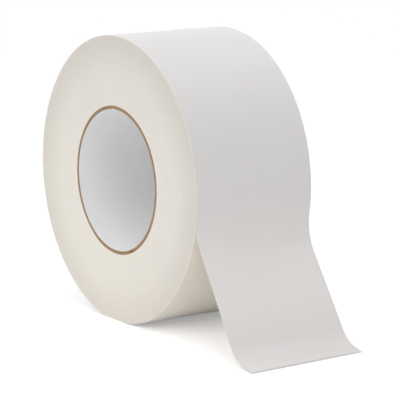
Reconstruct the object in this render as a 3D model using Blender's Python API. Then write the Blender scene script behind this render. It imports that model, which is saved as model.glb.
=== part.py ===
"""A standing roll of wide pipe wrap tape with its free end pulled off the roll.

The roll's axis runs along Y and the free end points to +X. The roll stands on Z = 0, on the small flat that
its weight presses into the rim, with the origin in the middle of that flat, under the roll's axis.
The near side is the side at -Y, the far side the one at +Y. A turn is counted from the peel line, where the
free end leaves the roll: from there it runs down, under the roll, up behind it and over the top.
"""
import math

import bmesh
import bpy
import numpy as np

# Paper core, in metres: four plies wound as a spiral tube, slit to the tape's width together with it
CORE_BORE = 0.0762
LINER_THICKNESS = 0.0003
KRAFT_THICKNESS = 0.0005
PLY_GAP = 0.00003
SEAM_LEAD = 0.110
SEAM_GAP = 0.0006
SEAM_TIP = 0.0010
SEAM_START = math.radians(95.0)
SEAM_STAGGER = math.radians(100.0)

# Tape: film outside, adhesive inside
TAPE_WIDTH = 0.072
FILM_THICKNESS = 0.00015
ADHESIVE_THICKNESS = 0.00010
BOND_GAP = 0.00002
TURNS = 150
STANDING_FLAT = 0.0005

# Free end: its near edge leaves the roll first, and its cut end rests on the floor
PEEL_ANGLE = math.radians(5.5)
PEEL_SKEW = math.radians(3.5)
PEEL_BEND = 0.028
RAMP_LEAN = math.radians(35.5)
RAMP_SKEW = math.radians(2.7)
FOOT_BEND = 0.018
FOOT_FLAT_NEAR = 0.0043
FOOT_FLAT_FAR = 0.0025
SIDE_DRIFT = 0.0038
DRIFT_GROWTH = 1.5
HINGE_GAP = 0.0003
START_GAP = 0.0005

# Facets: to a full turn, across the standing flat, and along and across the free end
TURN_FACETS = 96
FLAT_FACETS = 4
TAIL_FACETS = 44
TAIL_STRIPS = 6

FILM_WHITE = (0.79, 0.79, 0.80)
ADHESIVE_CREAM = (0.76, 0.70, 0.58)
SIDE_CREAM = (0.80, 0.76, 0.68)
KRAFT_BROWN = (0.42, 0.26, 0.14)
LINER_WHITE = (0.74, 0.74, 0.74)

# What follows from those sizes
FULL_TURN = 2 * math.pi
TAPE_THICKNESS = FILM_THICKNESS + ADHESIVE_THICKNESS
HALF_WIDTH = TAPE_WIDTH / 2
KRAFT_PLIES = ("core_kraft_inner", "core_kraft_middle", "core_kraft_outer")
CORE_RADIUS = CORE_BORE / 2 + LINER_THICKNESS + len(KRAFT_PLIES) * (KRAFT_THICKNESS + PLY_GAP)
PACK_BORE_RADIUS = CORE_RADIUS + PLY_GAP
OUTER_TURN_START = PACK_BORE_RADIUS + (TURNS - 2) * TAPE_THICKNESS
ROLL_RADIUS = OUTER_TURN_START + 2 * TAPE_THICKNESS
BOTTOM_PHASE = 0.25 - PEEL_ANGLE / FULL_TURN
BOTTOM_RADIUS = ROLL_RADIUS - (1 - BOTTOM_PHASE) * TAPE_THICKNESS
AXIS_HEIGHT = BOTTOM_RADIUS - STANDING_FLAT

# Heights of a layer's two faces above the underside of its turn
ADHESIVE_LAYER = (BOND_GAP, ADHESIVE_THICKNESS - BOND_GAP)
FILM_LAYER = (ADHESIVE_THICKNESS, TAPE_THICKNESS)


def clear_scene():
    for old in list(bpy.data.objects):
        bpy.data.objects.remove(old, do_unlink=True)


def principled(name, colour, roughness):
    """A plain material with the piece's colour and gloss."""
    material = bpy.data.materials.new(name)
    material.use_nodes = True
    shader = material.node_tree.nodes["Principled BSDF"]
    shader.inputs["Base Color"].default_value = (*colour, 1.0)
    shader.inputs["Roughness"].default_value = roughness
    material.diffuse_color = (*colour, 1.0)
    return material


def empty_at(name, place):
    """An empty that carries the pieces of one body."""
    empty = bpy.data.objects.new(name, None)
    empty.location = place
    bpy.context.scene.collection.objects.link(empty)
    return empty


def add_piece(name, bm, carrier, material):
    """Links a finished mesh as one named object under its body's empty, shaded smooth up to its edges."""
    bmesh.ops.recalc_face_normals(bm, faces=bm.faces)
    mesh = bpy.data.meshes.new(name)
    bm.to_mesh(mesh)
    bm.free()
    mesh.shade_smooth()
    mesh.set_sharp_from_angle(angle=math.radians(30))
    mesh.materials.append(material)
    piece = bpy.data.objects.new(name, mesh)
    piece.parent = carrier
    bpy.context.scene.collection.objects.link(piece)
    return piece


def slab(low, high):
    """A closed thin solid between two grids of points, each an array of (along, across, xyz).

    Both grids are cut into triangles along the same diagonals, so that stacked slabs stay parallel.
    """
    bm = bmesh.new()
    low, high = ([[bm.verts.new(point) for point in row] for row in grid] for grid in (low, high))
    for grid in (low, high):
        for row, following in zip(grid, grid[1:]):
            for j in range(len(row) - 1):
                bm.faces.new((row[j], row[j + 1], following[j + 1]))
                bm.faces.new((row[j], following[j + 1], following[j]))
    for i in range(len(low) - 1):
        for edge in (0, -1):
            bm.faces.new((low[i][edge], low[i + 1][edge], high[i + 1][edge], high[i][edge]))
    for end in (0, -1):
        bm.faces.new(low[end] + high[end][::-1])
    return bm


def around_axis(radius, angle, across):
    """Points on circles about the roll's axis, with the angle counted from +X up towards +Z."""
    return np.stack([radius * np.cos(angle), across, radius * np.sin(angle)], axis=-1)


def bent_strip(radius, angle, near, far):
    """A strip bent round the roll's axis at a radius, as a grid with a point on each of its two edges."""
    return np.stack([around_axis(radius, angle, near), around_axis(radius, angle, far)], axis=1)


def evenly(stops):
    """Steps of about one facet from stop to stop, in turns, with every stop among them."""
    steps = [np.array([stops[0]])]
    for start, end in zip(stops, stops[1:]):
        count = max(1, round((end - start) * TURN_FACETS))
        steps.append(np.linspace(start, end, count + 1)[1:])
    return np.concatenate(steps)


def core_ply(inner_radius, thickness, seam_angle):
    """One ply of the core: a strip wound as a helix of one lead, whose two edges meet at an open butt seam.

    At each angle the strip lies between its lower edge and the same edge one lead further up, and the core's
    two cut ends trim both. Its pointed ends are cut blunt.
    """
    half_gap = SEAM_GAP / 2
    first_tip = (half_gap + SEAM_TIP) / SEAM_LEAD - 1
    last_tip = (TAPE_WIDTH - half_gap - SEAM_TIP) / SEAM_LEAD
    corners = sorted([-half_gap / SEAM_LEAD, (TAPE_WIDTH + half_gap) / SEAM_LEAD - 1])
    turn = evenly((first_tip, *corners, last_tip))
    low = np.maximum(0, SEAM_LEAD * turn + half_gap) - HALF_WIDTH
    high = np.minimum(TAPE_WIDTH, SEAM_LEAD * (turn + 1) - half_gap) - HALF_WIDTH
    angle = seam_angle - FULL_TURN * turn
    inner, outer = (bent_strip(r, angle, low, high) for r in (inner_radius, inner_radius + thickness))
    return slab(inner, outer)


def turn_phases():
    """Shares of a turn at which the winding has its corners: both ends of the standing flat are among them."""
    half_flat = math.acos(1 - STANDING_FLAT / BOTTOM_RADIUS) / FULL_TURN
    before = evenly((0.0, BOTTOM_PHASE - half_flat))
    flat = np.linspace(BOTTOM_PHASE - half_flat, BOTTOM_PHASE + half_flat, FLAT_FACETS + 1)
    after = evenly((BOTTOM_PHASE + half_flat, 1.0))
    return np.concatenate([before, flat[1:-1], after])


def turn_angle(phase):
    return -PEEL_ANGLE - FULL_TURN * phase


def wound_radius(phase, height):
    """Radius of a face that lies a given height above the underside of the outer turn.

    It grows by one tape thickness in a turn, and the standing flat limits how far down it may reach.
    """
    spiral = OUTER_TURN_START + TAPE_THICKNESS * phase + height
    flat = OUTER_TURN_START + TAPE_THICKNESS * BOTTOM_PHASE + height - STANDING_FLAT
    downward = -np.sin(turn_angle(phase))
    lowest = np.where(downward > 0, spiral * downward, 0.0)
    return np.where(lowest > flat, flat / np.maximum(downward, flat / spiral), spiral)


def tape_pack():
    """All turns but the outer one, wound tight: a spiral outline with a step of one tape at the peel line."""
    phase = turn_phases()
    angle = turn_angle(phase)
    bore = np.full_like(phase, PACK_BORE_RADIUS)
    bm = bmesh.new()
    sides = []
    for across in (-HALF_WIDTH, HALF_WIDTH):
        side = np.full_like(phase, across)
        rim = [bm.verts.new(point) for point in around_axis(wound_radius(phase, 0.0), angle, side)]
        hole = [bm.verts.new(point) for point in around_axis(bore, angle, side)[:-1]]
        hole.append(hole[0])
        sides.append((rim, hole))
        for i in range(len(rim) - 2):
            bm.faces.new((hole[i], hole[i + 1], rim[i + 1], rim[i]))
        bm.faces.new((hole[-2], hole[-1], rim[0], rim[-1], rim[-2]))
    (near_rim, near_hole), (far_rim, far_hole) = sides
    for i in range(len(near_rim) - 1):
        bm.faces.new((near_rim[i], near_rim[i + 1], far_rim[i + 1], far_rim[i]))
        bm.faces.new((near_hole[i], near_hole[i + 1], far_hole[i + 1], far_hole[i]))
    bm.faces.new((near_rim[-1], near_rim[0], far_rim[0], far_rim[-1]))
    return bm


def outer_turn(layer):
    """Both faces of one layer of the outer turn, from just past the peel line round to that line again."""
    phase = turn_phases()
    phase[0] += START_GAP / (FULL_TURN * OUTER_TURN_START)
    phase[-1] -= HINGE_GAP / 2 / (FULL_TURN * ROLL_RADIUS)
    near = np.full_like(phase, -HALF_WIDTH)
    return [bent_strip(wound_radius(phase, height), turn_angle(phase), near, -near) for height in layer]


def least_gap_to_itself(faces):
    """Shortest distance between corners of a winding that lie more than a quarter turn apart along it."""
    corners = np.concatenate(faces, axis=1)
    station = np.repeat(np.arange(len(corners)), corners.shape[1])
    points = corners.reshape(-1, 3)
    apart = np.abs(station[:, None] - station[None, :]) > TURN_FACETS // 4
    distance = np.linalg.norm(points[:, None, :] - points[None, :, :], axis=-1)
    return distance[apart].min()


def tail_line(peel, lean, foot_flat):
    """One line along the free end, as (x, z, heading) about the roll's axis, on the tape's underside.

    The heading is the slope away from straight down. From the hinge the line follows the roll to its own peel
    angle, bends away to the lean of the ramp, runs straight, bends again and lies flat on the floor.
    """
    radius = OUTER_TURN_START + TAPE_THICKNESS
    hinge = PEEL_ANGLE + HINGE_GAP / 2 / ROLL_RADIUS
    bend_end = AXIS_HEIGHT - radius * math.sin(peel) - PEEL_BEND * (math.sin(peel) + math.sin(lean))
    foot_drop = FOOT_BEND * (1 - math.sin(lean))
    ramp = (bend_end - foot_drop) / math.cos(lean)
    lengths = [
        radius * (peel - hinge),
        PEEL_BEND * (peel + lean),
        ramp,
        FOOT_BEND * (math.pi / 2 - lean),
        foot_flat,
    ]
    curvatures = [-1 / radius, 1 / PEEL_BEND, 0, 1 / FOOT_BEND, 0]
    stations = np.linspace(0, sum(lengths), TAIL_FACETS + 1)
    x = np.full_like(stations, radius * math.cos(hinge))
    z = np.full_like(stations, -radius * math.sin(hinge))
    heading = np.full_like(stations, -hinge)
    begun = 0.0
    for length, curvature in zip(lengths, curvatures):
        run = np.clip(stations - begun, 0, length)
        turned = heading + curvature * run
        if curvature:
            x += (np.cos(heading) - np.cos(turned)) / curvature
            z += (np.sin(heading) - np.sin(turned)) / curvature
        else:
            x += run * np.sin(heading)
            z -= run * np.cos(heading)
        heading = turned
        begun += length
    return x, z, heading


def tail_end(layer, hinge):
    """Both faces of one layer of the free end, measured from the hinge.

    From the near edge to the far one, each line along the tape peels later, leans further and ends sooner.
    All of them drift to the near side on their way down.
    """
    drift = SIDE_DRIFT * np.linspace(0, 1, TAIL_FACETS + 1) ** DRIFT_GROWTH
    low, high = [], []
    for share in np.linspace(0, 1, TAIL_STRIPS + 1):
        peel = PEEL_ANGLE + HINGE_GAP / ROLL_RADIUS + share * PEEL_SKEW
        lean = RAMP_LEAN + share * RAMP_SKEW
        foot_flat = FOOT_FLAT_NEAR + share * (FOOT_FLAT_FAR - FOOT_FLAT_NEAR)
        x, z, heading = tail_line(peel, lean, foot_flat)
        across = TAPE_WIDTH * share - HALF_WIDTH - drift
        for face, height in zip((low, high), layer):
            line = np.stack([x + height * np.cos(heading), across, z + height * np.sin(heading)], axis=-1)
            face.append(line - hinge)
    return [np.stack(face, axis=1) for face in (low, high)]


def build():
    clear_scene()
    film = principled("tape_film", FILM_WHITE, 0.45)
    adhesive = principled("tape_adhesive", ADHESIVE_CREAM, 0.6)
    side = principled("tape_side", SIDE_CREAM, 0.55)
    kraft = principled("core_kraft", KRAFT_BROWN, 0.85)
    liner = principled("core_liner", LINER_WHITE, 0.75)

    roll = empty_at("roll", (0, 0, AXIS_HEIGHT))
    hinge = (ROLL_RADIUS * math.cos(PEEL_ANGLE), 0.0, -ROLL_RADIUS * math.sin(PEEL_ANGLE))
    tail = empty_at("tail", hinge)
    tail.parent = roll

    radius = CORE_BORE / 2
    add_piece("core_liner", core_ply(radius, LINER_THICKNESS, SEAM_START), roll, liner)
    radius += LINER_THICKNESS + PLY_GAP
    for number, name in enumerate(KRAFT_PLIES, start=1):
        seam = SEAM_START + number * SEAM_STAGGER
        add_piece(name, core_ply(radius, KRAFT_THICKNESS, seam), roll, kraft)
        radius += KRAFT_THICKNESS + PLY_GAP

    add_piece("tape_pack", tape_pack(), roll, side)
    film_turn = outer_turn(FILM_LAYER)
    add_piece("outer_turn_adhesive", slab(*outer_turn(ADHESIVE_LAYER)), roll, adhesive)
    add_piece("outer_turn_film", slab(*film_turn), roll, film)
    print(f"outer turn: least gap to itself {1000 * least_gap_to_itself(film_turn):.2f} mm")

    add_piece("tail_adhesive", slab(*tail_end(ADHESIVE_LAYER, hinge)), tail, adhesive)
    add_piece("tail_film", slab(*tail_end(FILM_LAYER, hinge)), tail, film)
    bpy.context.view_layer.update()


build()
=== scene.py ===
"""Looks of a standing roll of wide pipe wrap tape whose free end is pulled off and rests on the floor.

Lengths are in metres. The roll's axis runs along Y and the free end points to +X. The near side is the slit
side at -Y, which the camera sees. A turn of the tape is counted from the peel line, where the free end leaves
the roll: from there it runs down, under the roll, up behind it and over the top.
"""

import math

import bpy
import numpy as np
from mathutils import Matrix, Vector


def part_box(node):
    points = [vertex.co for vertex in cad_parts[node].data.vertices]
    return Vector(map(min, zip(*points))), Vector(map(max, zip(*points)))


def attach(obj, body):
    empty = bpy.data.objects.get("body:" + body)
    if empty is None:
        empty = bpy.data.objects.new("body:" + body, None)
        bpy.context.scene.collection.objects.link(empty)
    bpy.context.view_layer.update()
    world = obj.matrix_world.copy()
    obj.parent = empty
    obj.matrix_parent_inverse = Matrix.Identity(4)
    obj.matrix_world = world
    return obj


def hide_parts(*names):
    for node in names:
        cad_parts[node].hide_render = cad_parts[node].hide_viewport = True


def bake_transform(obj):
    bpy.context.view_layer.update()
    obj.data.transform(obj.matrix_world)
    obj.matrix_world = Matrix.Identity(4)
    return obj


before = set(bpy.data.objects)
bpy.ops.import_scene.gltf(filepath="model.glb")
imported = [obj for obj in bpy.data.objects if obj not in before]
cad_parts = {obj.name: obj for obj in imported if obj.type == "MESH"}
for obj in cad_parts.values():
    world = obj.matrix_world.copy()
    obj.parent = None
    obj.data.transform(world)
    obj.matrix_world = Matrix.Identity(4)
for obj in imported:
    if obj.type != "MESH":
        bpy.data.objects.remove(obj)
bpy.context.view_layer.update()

# Core liner
# The core's innermost ply, a strip of kraft paper with a smooth white face. It is wound as a helix, so that
# its edges meet at an open butt seam, and slit together with the tape, so that its cut ends show brown.
LINER_THICKNESS = 0.0003
PLY_GAP = 0.00003
CUT_ROUNDING = 0.00005
SEAM_LEAD = 0.110
SEAM_GAP = 0.0006
SEAM_TIP = 0.0010
SEAM_START = math.radians(95.0)
PLY_STEPS = 288
SHARP_ANGLE = math.radians(30.0)
LINER_WHITE = (0.828, 0.826, 0.833, 1.0)
LINER_SHADE = (0.797, 0.795, 0.805, 1.0)
LINER_INSIDE = (0.32, 0.2, 0.105, 1.0)
LINER_FIBRES = 2600.0
LINER_ROUGHNESS = 0.6
LINER_RELIEF = 0.00002
PULP_CLOUDS = 180.0
FIBRE_STRETCH = (1.0, 0.12, 1.0)
PAPER_TONES = (0.12, 0.42)

liner_low, liner_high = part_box("core_liner")
AXIS_HEIGHT = (liner_low.z + liner_high.z) / 2
HALF_WIDTH = liner_high.y
CORE_BORE_RADIUS = liner_high.x - LINER_THICKNESS


def around_axis(radius, angle, across):
    """Points on circles about the roll's axis, with the angle counted from +X up towards +Z."""
    radius, angle, across = np.broadcast_arrays(radius, angle, across)
    return np.stack([radius * np.cos(angle), across, AXIS_HEIGHT + radius * np.sin(angle)], axis=-1)


def tube_quads(stations, corners):
    """Quads of a closed profile of so many corners that is carried along so many stations of a path."""
    index = np.arange(stations * corners).reshape(stations, corners)
    following = np.roll(index, -1, axis=1)
    return np.stack([index[:-1], index[1:], following[1:], following[:-1]], axis=-1).reshape(-1, 4)


def placed(name, data):
    """A new object in the scene for a mesh, a lamp or a lens."""
    thing = bpy.data.objects.new(name, data)
    bpy.context.scene.collection.objects.link(thing)
    return thing


def new_piece(name, points, faces, material, run=None):
    """A smooth mesh object from an array of points and lists of faces, with its sharp edges kept.

    Where the piece is tape, run holds each point's place on the flat tape, and becomes its UV map.
    """
    mesh = bpy.data.meshes.new(name)
    mesh.from_pydata(points.reshape(-1, 3).tolist(), [], faces)
    mesh.shade_smooth()
    mesh.set_sharp_from_angle(angle=SHARP_ANGLE)
    if run is not None:
        corner = np.empty(len(mesh.loops), dtype=np.int32)
        mesh.loops.foreach_get("vertex_index", corner)
        mesh.uv_layers.new(name="run").uv.foreach_set("vector", run.reshape(-1, 2)[corner].ravel())
    mesh.materials.append(material)
    return placed(name, mesh)


def wound_ply(inner_radius, thickness, seam_angle):
    """A strip wound as a helix of one lead: points of its profile at each step, and the faces between them.

    At a turn u the strip lies between lead * u and lead * (u + 1), less half the seam's gap on either edge,
    and the core's two cut ends trim it. The profile is that width times the thickness, with rounded corners.
    """
    width = 2 * HALF_WIDTH
    first = (SEAM_GAP / 2 + SEAM_TIP) / SEAM_LEAD - 1
    last = (width - SEAM_GAP / 2 - SEAM_TIP) / SEAM_LEAD
    trims = [-SEAM_GAP / 2 / SEAM_LEAD, (width + SEAM_GAP / 2) / SEAM_LEAD - 1]
    turn = np.union1d(np.linspace(first, last, PLY_STEPS), trims)[:, None]
    low = np.maximum(0, SEAM_LEAD * turn + SEAM_GAP / 2) - HALF_WIDTH
    high = np.minimum(width, SEAM_LEAD * (turn + 1) - SEAM_GAP / 2) - HALF_WIDTH
    cut = CUT_ROUNDING
    above = np.array([0, cut, thickness - cut, thickness, thickness, thickness - cut, cut, 0])
    inset = np.array([cut, 0, 0, cut, cut, 0, 0, cut])
    at_low = np.array([1, 1, 1, 1, 0, 0, 0, 0])
    across = at_low * (low + inset) + (1 - at_low) * (high - inset)
    points = around_axis(inner_radius + above, seam_angle - 2 * math.pi * turn, across)
    stations, corners = across.shape
    ring = np.arange(corners)
    caps = [ring.tolist(), (ring[::-1] + corners * (stations - 1)).tolist()]
    return points, tube_quads(stations, corners).tolist() + caps


def new_material(name):
    """A material around one Principled shader: returns the material, its node tree and the shader."""
    material = bpy.data.materials.new(name)
    material.use_nodes = True
    return material, material.node_tree, material.node_tree.nodes["Principled BSDF"]


def add_node(tree, kind, values=None, **settings):
    """A node of one kind with its settings, and with values for input sockets, given by name or number."""
    node = tree.nodes.new(kind)
    for setting, value in settings.items():
        setattr(node, setting, value)
    for socket, value in (values or {}).items():
        if isinstance(value, bpy.types.NodeSocket):
            tree.links.new(value, node.inputs[socket])
        else:
            node.inputs[socket].default_value = value
    return node


def worked_out(tree, operation, *terms):
    """The result of one sum on its terms, each of them a socket or a number."""
    return add_node(tree, "ShaderNodeMath", dict(enumerate(terms)), operation=operation).outputs[0]


def ranged(tree, value, start, end, low=0.0, high=1.0, rise="LINEAR"):
    """A result that goes from low to high while the value goes from start to end, and stays there beyond."""
    sockets = {"Value": value, "From Min": start, "From Max": end, "To Min": low, "To Max": high}
    return add_node(tree, "ShaderNodeMapRange", sockets, interpolation_type=rise).outputs[0]


def clouded(tree, place, scale, detail, roughness=0.5):
    """Soft random values over a place, with so many waves to the metre and so many finer layers of them."""
    sockets = {"Vector": place, "Scale": scale, "Detail": detail, "Roughness": roughness}
    return add_node(tree, "ShaderNodeTexNoise", sockets).outputs[0]


def mixed(tree, factor, first, second):
    """The colour that lies a factor of the way from a first colour to a second one."""
    node = add_node(tree, "ShaderNodeMix", {0: factor, 6: first, 7: second}, data_type="RGBA")
    return node.outputs[2]


def bumped(tree, shader, height, distance):
    """Gives the shader a bump whose full height is the distance."""
    bump = add_node(tree, "ShaderNodeBump", {"Strength": 1.0, "Distance": distance, "Height": height})
    tree.links.new(bump.outputs["Normal"], shader.inputs["Normal"])


def group_of(name, inputs, outputs):
    """An empty node group with named value sockets: returns the group, its input node and its output node."""
    group = bpy.data.node_groups.new(name, "ShaderNodeTree")
    for socket, kind in inputs.items():
        group.interface.new_socket(socket, in_out="INPUT", socket_type=kind)
    for socket in outputs:
        group.interface.new_socket(socket, in_out="OUTPUT", socket_type="NodeSocketFloat")
    return group, group.nodes.new("NodeGroupInput"), group.nodes.new("NodeGroupOutput")


def paper_fibre_group():
    """Paper: soft clouds of pulp, and fine fibres that are some eight times as long as they are wide."""
    inputs = {"Vector": "NodeSocketVector", "Fibres": "NodeSocketFloat"}
    group, given, result = group_of("paper_fibre", inputs, ("Clouds", "Fibre"))
    place = given.outputs["Vector"]
    clouds = clouded(group, place, PULP_CLOUDS, detail=4.0)
    long_way = add_node(group, "ShaderNodeMapping", {"Vector": place, "Scale": FIBRE_STRETCH}).outputs[0]
    fibre = clouded(group, long_way, given.outputs["Fibres"], detail=5.0, roughness=0.7)
    group.links.new(clouds, result.inputs["Clouds"])
    group.links.new(fibre, result.inputs["Fibre"])
    return group


paper_fibre = paper_fibre_group()


def paper_material(name, light, dark, fibres, roughness, relief):
    """Paper of two tones, mixed by its pulp and fibres, with the fibres raised by the relief."""
    material, tree, shader = new_material(name)
    shader.inputs["Roughness"].default_value = roughness
    place = add_node(tree, "ShaderNodeTexCoord").outputs["Object"]
    paper = add_node(tree, "ShaderNodeGroup", {"Vector": place, "Fibres": fibres}, node_tree=paper_fibre)
    tone = worked_out(tree, "MULTIPLY", paper.outputs["Clouds"], paper.outputs["Fibre"])
    share = ranged(tree, tone, *PAPER_TONES)
    tree.links.new(mixed(tree, share, dark, light), shader.inputs["Base Color"])
    bumped(tree, shader, paper.outputs["Fibre"], relief)
    return material


def show_cut_ends(material, inside):
    """Lets a paper's inside show on the core's two cut ends, half a tape's width from its middle."""
    tree = material.node_tree
    base = tree.nodes["Principled BSDF"].inputs["Base Color"]
    face = base.links[0].from_socket
    place = add_node(tree, "ShaderNodeTexCoord").outputs["Object"]
    across = add_node(tree, "ShaderNodeSeparateXYZ", {0: place}).outputs["Y"]
    cut = ranged(tree, worked_out(tree, "ABSOLUTE", across), HALF_WIDTH - CUT_ROUNDING, HALF_WIDTH)
    tree.links.new(mixed(tree, cut, face, inside), base)


liner_paper = paper_material(
    "liner_paper", LINER_WHITE, LINER_SHADE, LINER_FIBRES, LINER_ROUGHNESS, LINER_RELIEF
)
show_cut_ends(liner_paper, LINER_INSIDE)
core_liner = new_piece("liner", *wound_ply(CORE_BORE_RADIUS, LINER_THICKNESS, SEAM_START), liner_paper)
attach(core_liner, "roll")
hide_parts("core_liner")

# Core kraft plies
# Three strips of brown kraft board, wound over the liner with glue between them. Each seam is moved round
# from the one below it, and only the plies' slit edges show, as the brown ring round the bore.
KRAFT_THICKNESS = 0.0005
SEAM_STAGGER = math.radians(100.0)
KRAFT_PLIES = ("core_kraft_inner", "core_kraft_middle", "core_kraft_outer")
KRAFT_BROWN = (0.27, 0.155, 0.075, 1.0)
KRAFT_PALE = (0.39, 0.26, 0.145, 1.0)
KRAFT_FIBRES = 1900.0
KRAFT_ROUGHNESS = 0.85
KRAFT_RELIEF = 0.00005

kraft_paper = paper_material(
    "kraft_paper", KRAFT_PALE, KRAFT_BROWN, KRAFT_FIBRES, KRAFT_ROUGHNESS, KRAFT_RELIEF
)
ply_radius = CORE_BORE_RADIUS + LINER_THICKNESS + PLY_GAP
for number, node in enumerate(KRAFT_PLIES, start=1):
    seam = SEAM_START + number * SEAM_STAGGER
    ply = new_piece(node + "_ply", *wound_ply(ply_radius, KRAFT_THICKNESS, seam), kraft_paper)
    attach(ply, "roll")
    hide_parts(node)
    ply_radius += KRAFT_THICKNESS + PLY_GAP

# Wound pack
# All turns but the outer one of a single long tape, film and adhesive, wound tight on the core and slit with
# it. On both sides its edge shows as one unbroken spiral, with a groove between each turn and the next.
FILM_THICKNESS = 0.00015
ADHESIVE_THICKNESS = 0.00010
PACK_TURNS = 148
TURN_STEPS = 144
GLUE_LINE = 0.00002
PEEL_ANGLE = math.radians(5.5)
STANDING_FLAT = 0.0005
FLAT_DEPTH = 0.012
DOWNWARD_LIMIT = 0.5
GROOVE_DEPTH = 0.00003
EDGE_WANDER = 0.00003
EDGE_WANDER_STEPS = 18
NEAR_SEED = 11
FAR_SEED = 12
SIDE_CREAM = (0.781, 0.744, 0.682, 1.0)
SIDE_SHADE = (0.658, 0.621, 0.56, 1.0)
SIDE_TONES = (0.3, 1.9)
TONE_SHARE = 0.4
# Turns over which a painted shade darkens the side towards the rim, for shade on its outer band.
RIM_SHADE_TURNS = (60.0, 145.0)
TURN_BANDS = 0.9
WIDE_BANDS = 0.09
SIDE_CLOUDS = 38.0
ADHESIVE_LINE = (0.71, 0.663, 0.571, 1.0)
LINE_SHARE = 0.25
LINE_SOFTNESS = 0.1
SIDE_ROUGHNESS = (0.5, 0.62)
NOISE_SPAN = (0.3, 0.7)
BLADE_GRAIN = 900.0
BLADE_GRAIN_SHARE = 0.5
SIDE_RELIEF = 0.00004

TAPE_THICKNESS = FILM_THICKNESS + ADHESIVE_THICKNESS
PACK_BORE_RADIUS = ply_radius
OUTER_TURN_START = PACK_BORE_RADIUS + PACK_TURNS * TAPE_THICKNESS
BOTTOM_PHASE = 0.25 - PEEL_ANGLE / (2 * math.pi)


def turn_angle(phase):
    """Angle about the axis at a number of turns past the peel line."""
    return -PEEL_ANGLE - 2 * math.pi * phase


def pressed(radius, phase, share):
    """Lets the standing flat press a radius in, by a share of what the outer turn gives there.

    The outer turn's underside gives the length by which its spiral would reach below the flat.
    """
    around = phase - np.floor(phase)
    spiral = OUTER_TURN_START + TAPE_THICKNESS * around
    flat = OUTER_TURN_START + TAPE_THICKNESS * BOTTOM_PHASE - STANDING_FLAT
    downward = np.maximum(-np.sin(turn_angle(around)), DOWNWARD_LIMIT)
    return radius - share * np.maximum(0, spiral - flat / downward)


def spiral_radius(turns):
    """Underside of the tape after so many turns: it grows by one tape thickness with each.

    A glue line lies under the first turn and thins out to none, and the last turns take up the standing flat.
    """
    glue = GLUE_LINE * np.maximum(0, 1 - turns / PACK_TURNS)
    radius = PACK_BORE_RADIUS + glue + TAPE_THICKNESS * turns
    share = np.clip(1 - (OUTER_TURN_START - radius) / FLAT_DEPTH, 0, 1)
    return pressed(radius, turns, share * share * (3 - 2 * share))


def edge_wander(count, seed):
    """How far the slit edge stands out along the tape: random stops, joined by straight lines."""
    stops = np.random.default_rng(seed).normal(0.0, EDGE_WANDER, count // EDGE_WANDER_STEPS + 2)
    return np.interp(np.arange(count) / EDGE_WANDER_STEPS, np.arange(len(stops)), stops)


def pack_side(side, seed):
    """Points on one side of the pack, as one list: the bore's ring and the undersides of tape and film.

    Both undersides are spirals of one point per step. The edge stands out where the film meets its adhesive,
    and the underside of the tape lies a groove's depth further in.
    """
    last = PACK_TURNS * TURN_STEPS
    bore_step = np.arange(TURN_STEPS)
    tape_step = np.arange(last + TURN_STEPS + 1)
    film_step = np.arange(last + 1)
    wander = edge_wander(len(tape_step), seed)
    bore = around_axis(PACK_BORE_RADIUS, turn_angle(bore_step / TURN_STEPS), side * HALF_WIDTH)
    tape = around_axis(
        spiral_radius(tape_step / TURN_STEPS),
        turn_angle(tape_step / TURN_STEPS),
        side * (HALF_WIDTH - GROOVE_DEPTH + wander),
    )
    film = around_axis(
        spiral_radius(film_step / TURN_STEPS) + ADHESIVE_THICKNESS,
        turn_angle(film_step / TURN_STEPS),
        side * (HALF_WIDTH + wander[: last + 1]),
    )
    return np.concatenate([bore, tape, film])


def side_quads(first, second):
    """Quads between two rows of point numbers of the same length."""
    return np.stack([first[:-1], second[:-1], second[1:], first[1:]], axis=-1)


def pack_faces():
    """Faces of the whole pack: both spiral sides, the bore, the outline and the step where the tape ends."""
    last = PACK_TURNS * TURN_STEPS
    bore = np.arange(TURN_STEPS)
    tape = TURN_STEPS + np.arange(last + TURN_STEPS + 1)
    film = tape[-1] + 1 + np.arange(last + 1)
    side_count = film[-1] + 1
    side = np.concatenate([
        side_quads(tape[:TURN_STEPS], bore),
        side_quads(film, tape[: last + 1]),
        side_quads(tape[TURN_STEPS:], film),
    ])
    start = np.array([bore[-1], bore[0], tape[0], film[0], tape[TURN_STEPS], tape[TURN_STEPS - 1]])
    ring = np.append(bore, bore[0])
    outline = np.concatenate([tape[last:], [film[last], tape[last]]])
    walls = np.concatenate([side_quads(ring, ring + side_count), side_quads(outline + side_count, outline)])
    faces = np.concatenate([side, side[:, ::-1] + side_count, walls])
    return faces.tolist() + [start.tolist(), (start[::-1] + side_count).tolist()]


def banded(tree, turns, rate):
    """Soft random values that change with the turns, at so many waves to the turn."""
    sockets = {"W": turns, "Scale": rate, "Detail": 2.0}
    return add_node(tree, "ShaderNodeTexNoise", sockets, noise_dimensions="1D").outputs[0]


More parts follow.
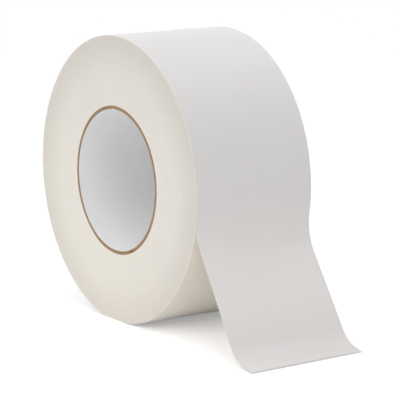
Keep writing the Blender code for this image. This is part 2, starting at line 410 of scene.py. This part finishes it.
def tape_side_material():
    """Slit edges of the turns: the radius, less the spiral's climb, gives the place in a turn, so its layer.

    Turns differ a little in tone, in bands of one turn and of many. A painted shade darkens the outer turns
    towards the rim, so those by the core are the palest. The blade left a faint grain on them.
    """
    material, tree, shader = new_material("tape_side")
    place = add_node(tree, "ShaderNodeTexCoord").outputs["Object"]
    lowered = {"Vector": place, "Location": (0.0, 0.0, -AXIS_HEIGHT)}
    centred = add_node(tree, "ShaderNodeMapping", lowered).outputs[0]
    axes = add_node(tree, "ShaderNodeSeparateXYZ", {0: centred})
    x, z = axes.outputs["X"], axes.outputs["Z"]
    flat = add_node(tree, "ShaderNodeCombineXYZ", {0: x, 1: z}).outputs[0]
    radius = add_node(tree, "ShaderNodeVectorMath", {0: flat}, operation="LENGTH").outputs["Value"]
    angle = worked_out(tree, "ARCTAN2", z, x)
    turned = worked_out(tree, "MULTIPLY_ADD", angle, 1 / (2 * math.pi), PEEL_ANGLE / (2 * math.pi))
    above_bore = worked_out(tree, "SUBTRACT", radius, PACK_BORE_RADIUS)
    turns = worked_out(tree, "MULTIPLY_ADD", above_bore, 1 / TAPE_THICKNESS, turned)
    layer = worked_out(tree, "FRACT", turns)
    adhesive_share = ADHESIVE_THICKNESS / TAPE_THICKNESS
    line = ranged(tree, layer, adhesive_share + LINE_SOFTNESS, LINE_SOFTNESS, rise="SMOOTHSTEP")
    turn_bands = banded(tree, turns, TURN_BANDS)
    wide_bands = banded(tree, turns, WIDE_BANDS)
    clouds = clouded(tree, centred, SIDE_CLOUDS, detail=3.0)
    tone = worked_out(tree, "ADD", worked_out(tree, "ADD", turn_bands, wide_bands), clouds)
    # Painted shade: 1 by the core, falling to 0 over the outer turns, so that these render darker.
    clear_of_rim_shade = ranged(tree, turns, *RIM_SHADE_TURNS, low=1.0, high=0.0, rise="SMOOTHSTEP")
    share = ranged(tree, worked_out(tree, "MULTIPLY_ADD", tone, TONE_SHARE, clear_of_rim_shade), *SIDE_TONES)
    toned = mixed(tree, share, SIDE_SHADE, SIDE_CREAM)
    lined = mixed(tree, worked_out(tree, "MULTIPLY", line, LINE_SHARE), toned, ADHESIVE_LINE)
    tree.links.new(lined, shader.inputs["Base Color"])
    tree.links.new(ranged(tree, turn_bands, *NOISE_SPAN, *SIDE_ROUGHNESS), shader.inputs["Roughness"])
    grain = clouded(tree, centred, BLADE_GRAIN, detail=3.0)
    relief = worked_out(tree, "MULTIPLY_ADD", grain, BLADE_GRAIN_SHARE, turn_bands)
    bumped(tree, shader, relief, SIDE_RELIEF)
    return material


tape_side = tape_side_material()
pack_points = np.concatenate([pack_side(-1, NEAR_SEED), pack_side(1, FAR_SEED)])
pack = new_piece("wound_pack", pack_points, pack_faces(), tape_side)
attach(pack, "roll")
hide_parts("tape_pack")

# Adhesive coat
# Cream rubber adhesive, coated on the film's inner side before the tape is slit. It runs with the film round
# the outer turn, leaves the roll at the peel line and lines the whole underside of the free end.
BOND_GAP = 0.00002
START_GAP = 0.0005
LAST_PHASE = 0.999999
PEEL_SKEW = math.radians(3.5)
PEEL_BEND = 0.028
RAMP_LEAN = math.radians(35.5)
RAMP_SKEW = math.radians(2.7)
RAMP_BOW = math.radians(-1.0)
FOOT_BEND_NEAR = 0.018
FOOT_BEND_FAR = 0.020
FOOT_REST = math.radians(82.0)
STRAIGHT_CURVATURE = 1e-6
REACH_NEAR = 0.1316
REACH_FAR = 0.1278
TIP_HOVER = 0.0004
TIP_HELD = 8
SIDE_DRIFT = 0.0038
DRIFT_GROWTH = 1.5
TURN_STATIONS = 300
TAIL_STATIONS = 110
ACROSS_STATIONS = 25
ADHESIVE_CREAM = (0.882, 0.834, 0.75, 1.0)
ADHESIVE_DEEP = (0.841, 0.785, 0.694, 1.0)
ADHESIVE_ROUGHNESS = (0.42, 0.6)
ADHESIVE_GRAIN = 1400.0
ADHESIVE_GRAIN_SHARE = 0.6
ADHESIVE_RELIEF = 0.00006
STREAK_STRETCH = (6.0, 420.0, 1.0)
WEB_MOTTLE = 55.0
WEB_TONES = (0.7, 1.3)


def tail_lines(along, share):
    """Lines along the free end, on the tape's underside: x, height, heading and the length run, as arrays.

    The heading is the slope away from straight down. A line follows the roll to its own peel angle, bends
    away to the lean of the ramp, runs straight, bends again and ends in a foot that all but lies flat. From
    the near edge (share 0) to the far one (share 1) the lines peel later and lean further, those between
    them by less than their share. The foot is as long as it takes to reach the straight cut, which hovers a
    little except at its far corner.
    """
    peel = PEEL_ANGLE + share * PEEL_SKEW
    lean = RAMP_LEAN + share * RAMP_SKEW + 4 * share * (1 - share) * RAMP_BOW
    foot_bend = FOOT_BEND_NEAR + share * (FOOT_BEND_FAR - FOOT_BEND_NEAR)
    reach = REACH_NEAR + share * (REACH_FAR - REACH_NEAR)
    hover = TIP_HOVER * (1 - share ** TIP_HELD)
    radius = OUTER_TURN_START + TAPE_THICKNESS
    bend_x = radius * np.cos(peel) + PEEL_BEND * (np.cos(peel) - np.cos(lean))
    bend_z = AXIS_HEIGHT - radius * np.sin(peel) - PEEL_BEND * (np.sin(peel) + np.sin(lean))
    drop = bend_z - hover - foot_bend * (math.sin(FOOT_REST) - np.sin(lean))
    run_out = reach - bend_x - foot_bend * (np.cos(lean) - math.cos(FOOT_REST))
    foot = (run_out - drop * np.tan(lean)) / (math.sin(FOOT_REST) - math.cos(FOOT_REST) * np.tan(lean))
    ramp = (drop - foot * math.cos(FOOT_REST)) / np.cos(lean)
    lengths = [
        radius * (peel - PEEL_ANGLE),
        PEEL_BEND * (peel + lean),
        ramp,
        foot_bend * (FOOT_REST - lean),
        foot,
    ]
    curvatures = [-1 / radius, 1 / PEEL_BEND, STRAIGHT_CURVATURE, 1 / foot_bend, STRAIGHT_CURVATURE]
    run = along * sum(lengths)
    x = radius * math.cos(PEEL_ANGLE) + 0 * run
    z = AXIS_HEIGHT - radius * math.sin(PEEL_ANGLE) + 0 * run
    heading = -PEEL_ANGLE + 0 * run
    begun = 0.0
    for length, curvature in zip(lengths, curvatures):
        turned = heading + curvature * np.clip(run - begun, 0, length)
        x += (np.cos(heading) - np.cos(turned)) / curvature
        z += (np.sin(heading) - np.sin(turned)) / curvature
        heading = turned
        begun = begun + length
    return x, z, heading, run


def tape_face(height):
    """Points on a face of the tape, a height above its underside, and each one's place on the flat tape.

    The rows run along the tape, from the start of the outer turn to the cut end, and the columns across it.
    All lines of the free end drift to the near side on their way down.
    """
    share = np.linspace(0, 1, ACROSS_STATIONS)[None, :]
    across = 2 * HALF_WIDTH * share - HALF_WIDTH
    phase = np.linspace(START_GAP / (2 * math.pi * OUTER_TURN_START), 1, TURN_STATIONS)[:, None]
    spiral = OUTER_TURN_START + TAPE_THICKNESS * phase
    radius = pressed(spiral, np.minimum(phase, LAST_PHASE), 1.0) + height
    turn = around_axis(radius, turn_angle(phase), across)
    turn_run = 2 * math.pi * OUTER_TURN_START * phase + 0 * share
    along = np.linspace(0, 1, TAIL_STATIONS)[1:, None]
    x, z, heading, run = tail_lines(along, share)
    drift = SIDE_DRIFT * along ** DRIFT_GROWTH
    tail = np.stack([x + height * np.cos(heading), across - drift, z + height * np.sin(heading)], axis=-1)
    points = np.concatenate([turn, tail])
    place = np.concatenate([turn_run, turn_run[-1:] + run])
    return points, np.stack([place, across + 0 * place], axis=-1)


def tape_slab(low, high):
    """Points, faces and places of a closed thin slab between two heights of the tape."""
    under, run = tape_face(low)
    over, _ = tape_face(high)
    rows, columns = run.shape[:2]
    count = rows * columns
    index = np.arange(count).reshape(rows, columns)
    corners = [index[:-1, :-1], index[1:, :-1], index[1:, 1:], index[:-1, 1:]]
    quads = np.stack(corners, axis=-1).reshape(-1, 4)
    rim = np.concatenate([index[0, :-1], index[:-1, -1], index[-1, :0:-1], index[:0:-1, 0]])
    following = np.roll(rim, -1)
    edge = np.stack([rim, rim + count, following + count, following], axis=-1)
    faces = np.concatenate([quads[:, ::-1], quads + count, edge])
    points = np.concatenate([under.reshape(-1, 3), over.reshape(-1, 3)])
    return points, faces.tolist(), np.concatenate([run, run])


def web_streak_group():
    """A coated web: streaks along its run, a cloudy mottle and a fine grain, by place on the flat tape."""
    inputs = {"Place": "NodeSocketVector", "Grain": "NodeSocketFloat"}
    group, given, result = group_of("web_streak", inputs, ("Streaks", "Mottle", "Grain"))
    place = given.outputs["Place"]
    long_way = add_node(group, "ShaderNodeMapping", {"Vector": place, "Scale": STREAK_STRETCH}).outputs[0]
    streaks = clouded(group, long_way, 1.0, detail=3.0)
    mottle = clouded(group, place, WEB_MOTTLE, detail=4.0)
    grain = clouded(group, place, given.outputs["Grain"], detail=3.0)
    group.links.new(streaks, result.inputs["Streaks"])
    group.links.new(mottle, result.inputs["Mottle"])
    group.links.new(grain, result.inputs["Grain"])
    return group


web_streak = web_streak_group()


def adhesive_material():
    """Rubber adhesive: cream, deeper in its streaks, tacky and a little uneven from being pulled off."""
    material, tree, shader = new_material("tape_adhesive")
    place = add_node(tree, "ShaderNodeUVMap", uv_map="run").outputs[0]
    given = {"Place": place, "Grain": ADHESIVE_GRAIN}
    web = add_node(tree, "ShaderNodeGroup", given, node_tree=web_streak)
    streaks, mottle, grain = web.outputs["Streaks"], web.outputs["Mottle"], web.outputs["Grain"]
    share = ranged(tree, worked_out(tree, "ADD", streaks, mottle), *WEB_TONES)
    tree.links.new(mixed(tree, share, ADHESIVE_DEEP, ADHESIVE_CREAM), shader.inputs["Base Color"])
    tree.links.new(ranged(tree, mottle, *NOISE_SPAN, *ADHESIVE_ROUGHNESS), shader.inputs["Roughness"])
    relief = worked_out(tree, "MULTIPLY_ADD", grain, ADHESIVE_GRAIN_SHARE, mottle)
    bumped(tree, shader, relief, ADHESIVE_RELIEF)
    return material


tape_adhesive = adhesive_material()
coat_points, coat_faces, coat_run = tape_slab(BOND_GAP, ADHESIVE_THICKNESS - BOND_GAP)
coat = new_piece("adhesive_coat", coat_points, coat_faces, tape_adhesive, coat_run)
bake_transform(coat)
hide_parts("outer_turn_adhesive", "tail_adhesive")

# Film
# Satin white calendered film, the tape's outer side, unbroken from the outer turn to the cut end. Just below
# the peel line, where the free end lay, warm bounce light is painted on it, cream and lighter than the film's
# own white. The free end is one layer thick: where it stands clear of roll and floor, light through it is
# painted on as a warmer, lighter glow, and its foot on the floor is painted a shade darker and warm.
FILM_WHITE = (0.825, 0.804, 0.798, 1.0)
# Painted warm bounce light: cream, lighter than the film's own white, in the shade below the peel line.
FILM_PAINTED_BOUNCE = (0.917, 0.87, 0.793, 1.0)
# Painted glow of light through the free end, lighter and warmer, where it stands clear of roll and floor.
FILM_PAINTED_GLOW = (0.862, 0.83, 0.818, 1.0)
# Painted shade on the foot that lies on the floor: a little darker, and warm like the painted glow above it.
FILM_FOOT_SHADE_AND_GLOW = (0.817, 0.784, 0.775, 1.0)
FILM_TONES = (0.988, 1.002)
FILM_GLOSS = 0.4
FILM_ROUGHNESS = (0.48, 0.58)
FILM_GRAIN = 2600.0
FILM_GRAIN_SHARE = 0.8
FILM_RELIEF = 0.000005
PEEL_RUN = 2 * math.pi * OUTER_TURN_START
# Where the painted bounce light, the painted glow and the foot's painted shade start and end along the run.
PAINTED_BOUNCE_END = (0.088, 0.096)
PAINTED_GLOW_START = (PEEL_RUN - 0.012, PEEL_RUN + 0.018)
PAINTED_GLOW_END = (PEEL_RUN + 0.050, PEEL_RUN + 0.078)


def film_material():
    """Calendered film: satin, with faint streaks along its run, a soft mottle and a very fine grain.

    The colour goes by the place along the run: painted warm bounce light on the first length of the outer
    turn, as long as the free end, then plain white, then the free end's painted glow of light through it,
    then its foot, painted a shade darker. Streaks and mottle scale it.
    """
    material, tree, shader = new_material("tape_film")
    shader.inputs["Specular IOR Level"].default_value = FILM_GLOSS
    place = add_node(tree, "ShaderNodeUVMap", uv_map="run").outputs[0]
    web = add_node(tree, "ShaderNodeGroup", {"Place": place, "Grain": FILM_GRAIN}, node_tree=web_streak)
    streaks, mottle, grain = web.outputs["Streaks"], web.outputs["Mottle"], web.outputs["Grain"]
    run = add_node(tree, "ShaderNodeSeparateXYZ", {0: place}).outputs["X"]
    # Painted warm bounce light first, then plain white, then the painted glow and the foot's painted shade.
    colour = mixed(tree, ranged(tree, run, *PAINTED_BOUNCE_END, rise="SMOOTHSTEP"), FILM_PAINTED_BOUNCE, FILM_WHITE)
    # Painted glow of light through the free end, where it stands clear of roll and floor.
    colour = mixed(tree, ranged(tree, run, *PAINTED_GLOW_START, rise="SMOOTHSTEP"), colour, FILM_PAINTED_GLOW)
    # Painted shade on the foot, where it lies on the floor.
    colour = mixed(tree, ranged(tree, run, *PAINTED_GLOW_END, rise="SMOOTHSTEP"), colour, FILM_FOOT_SHADE_AND_GLOW)
    tone = ranged(tree, worked_out(tree, "ADD", streaks, mottle), *WEB_TONES, *FILM_TONES)
    toned = add_node(tree, "ShaderNodeVectorMath", {0: colour, "Scale": tone}, operation="SCALE")
    tree.links.new(toned.outputs[0], shader.inputs["Base Color"])
    tree.links.new(ranged(tree, mottle, *NOISE_SPAN, *FILM_ROUGHNESS), shader.inputs["Roughness"])
    relief = worked_out(tree, "MULTIPLY_ADD", grain, FILM_GRAIN_SHARE, streaks)
    bumped(tree, shader, relief, FILM_RELIEF)
    return material


tape_film = film_material()
film_points, film_faces, film_run = tape_slab(ADHESIVE_THICKNESS, TAPE_THICKNESS)
film = new_piece("film", film_points, film_faces, tape_film, film_run)
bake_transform(film)
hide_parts("outer_turn_film", "tail_film")

# Floor and light
# A plain white floor, which glows a little for the camera, so that it stays white round the shadow. Wide
# soft lamps stand behind the roll, in front of it, at its left and at the camera's side. Four panels stand
# close by, above the roll and low in front of it, at its right and behind it, and light its bore.
FLOOR_SIZE = 12.0
FLOOR_DROP = 0.00005
FLOOR_WHITE = (0.94, 0.94, 0.94, 1.0)
FLOOR_SEEN = (1.0, 1.0, 1.0, 1.0)
FLOOR_GLOW = 0.283
SKY_WHITE = (1.0, 1.0, 1.0, 1.0)

floor_mesh = bpy.data.meshes.new("floor")
floor_corners = np.array([(-1, -1, 0), (1, -1, 0), (1, 1, 0), (-1, 1, 0)]) * FLOOR_SIZE / 2
floor_mesh.from_pydata((floor_corners - (0, 0, FLOOR_DROP)).tolist(), [], [(0, 1, 2, 3)])
floor = placed("floor", floor_mesh)
floor_material, floor_tree, floor_shader = new_material("floor_white")
floor_shader.inputs["Roughness"].default_value = 1.0
floor_shader.inputs["Specular IOR Level"].default_value = 0.0


def seen_share(tree):
    """1 for rays from the camera, or by way of a mirror or glass, and 0 for light that surfaces bounce."""
    path = add_node(tree, "ShaderNodeLightPath").outputs
    mirrored = worked_out(tree, "MAXIMUM", path["Is Camera Ray"], path["Is Glossy Ray"])
    return worked_out(tree, "MAXIMUM", mirrored, path["Is Transmission Ray"])


floor_seen = seen_share(floor_tree)
floor_colour = mixed(floor_tree, floor_seen, FLOOR_WHITE, FLOOR_SEEN)
floor_tree.links.new(floor_colour, floor_shader.inputs["Base Color"])
floor_glow = worked_out(floor_tree, "MULTIPLY", floor_seen, FLOOR_GLOW)
floor_tree.links.new(floor_glow, floor_shader.inputs["Emission Strength"])
floor_material.cycles.emission_sampling = "NONE"
floor_mesh.materials.append(floor_material)

world = bpy.data.worlds.new("studio")
world.use_nodes = True
sky = world.node_tree.nodes["Background"]
sky.inputs["Color"].default_value = SKY_WHITE
world.node_tree.links.new(seen_share(world.node_tree), sky.inputs["Strength"])
bpy.context.scene.world = world


def soft_light(name, azimuth, elevation, spread, level):
    """A distant lamp, seen from the roll at an azimuth, which is 0 in front of the near side, and elevation.

    A white surface that faces the lamp renders at the level.
    """
    lamp = bpy.data.lights.new(name, "SUN")
    lamp.angle = math.radians(spread)
    lamp.energy = math.pi * level
    light = placed(name, lamp)
    light.rotation_euler = (math.radians(90 - elevation), 0, math.radians(azimuth))


def soft_panel(name, place, size, level):
    """A square panel that faces the roll's middle, where a white surface turned to it renders at a level."""
    middle = Vector((0, 0, AXIS_HEIGHT))
    lamp = bpy.data.lights.new(name, "AREA")
    lamp.shape = "SQUARE"
    lamp.size = size
    lamp.energy = math.pi ** 2 * (Vector(place) - middle).length_squared * level
    light = placed(name, lamp)
    light.location = place
    light.rotation_euler = (middle - Vector(place)).to_track_quat("-Z", "Y").to_euler()
    light.visible_camera = False


soft_light("back_light", azimuth=180, elevation=40, spread=50, level=0.291)
soft_light("front_light", azimuth=-30, elevation=40, spread=50, level=0.27)
soft_light("left_light", azimuth=-90, elevation=40, spread=50, level=0.172)
soft_light("camera_light", azimuth=60, elevation=40, spread=50, level=0.27)
soft_light("right_light", azimuth=75, elevation=40, spread=30, level=0.114)
soft_panel("top_panel", place=(0.0, 0.0, 0.55), size=0.4, level=0.188)
soft_panel("front_panel", place=(-0.02, -0.24, 0.05), size=0.1, level=0.194)
soft_panel("right_panel", place=(0.42, -0.28, 0.05), size=0.25, level=0.068)
soft_panel("rear_panel", place=(0.02, 0.30, 0.05), size=0.2, level=0.124)

# Camera
# A long lens from the near side and the free end, a little above the roll. The aim lies beside the roll's
# middle, where the photograph's frame has its middle.
CAMERA_AZIMUTH = math.radians(56.71)
CAMERA_ELEVATION = math.radians(10.17)
CAMERA_DISTANCE = 1.2727
CAMERA_LENS = 211.35
SENSOR_WIDTH = 36.0
AIM_RIGHT = 0.01499
AIM_UP = -0.01428

sin_a, cos_a = math.sin(CAMERA_AZIMUTH), math.cos(CAMERA_AZIMUTH)
sin_e, cos_e = math.sin(CAMERA_ELEVATION), math.cos(CAMERA_ELEVATION)
backward = np.array([sin_a * cos_e, -cos_a * cos_e, sin_e])
rightward = np.array([cos_a, sin_a, 0.0])
upward = np.array([-sin_a * sin_e, cos_a * sin_e, cos_e])
roll_centre = np.array([0.0, 0.0, AXIS_HEIGHT])
lens = bpy.data.cameras.new("camera")
lens.lens = CAMERA_LENS
lens.sensor_width = SENSOR_WIDTH
camera = placed("camera", lens)
camera.location = roll_centre + CAMERA_DISTANCE * backward
aim = roll_centre + AIM_RIGHT * rightward + AIM_UP * upward
camera.rotation_euler = Vector(aim - camera.location).to_track_quat("-Z", "Y").to_euler()
bpy.context.scene.camera = camera
bpy.context.scene.view_settings.view_transform = "Standard"
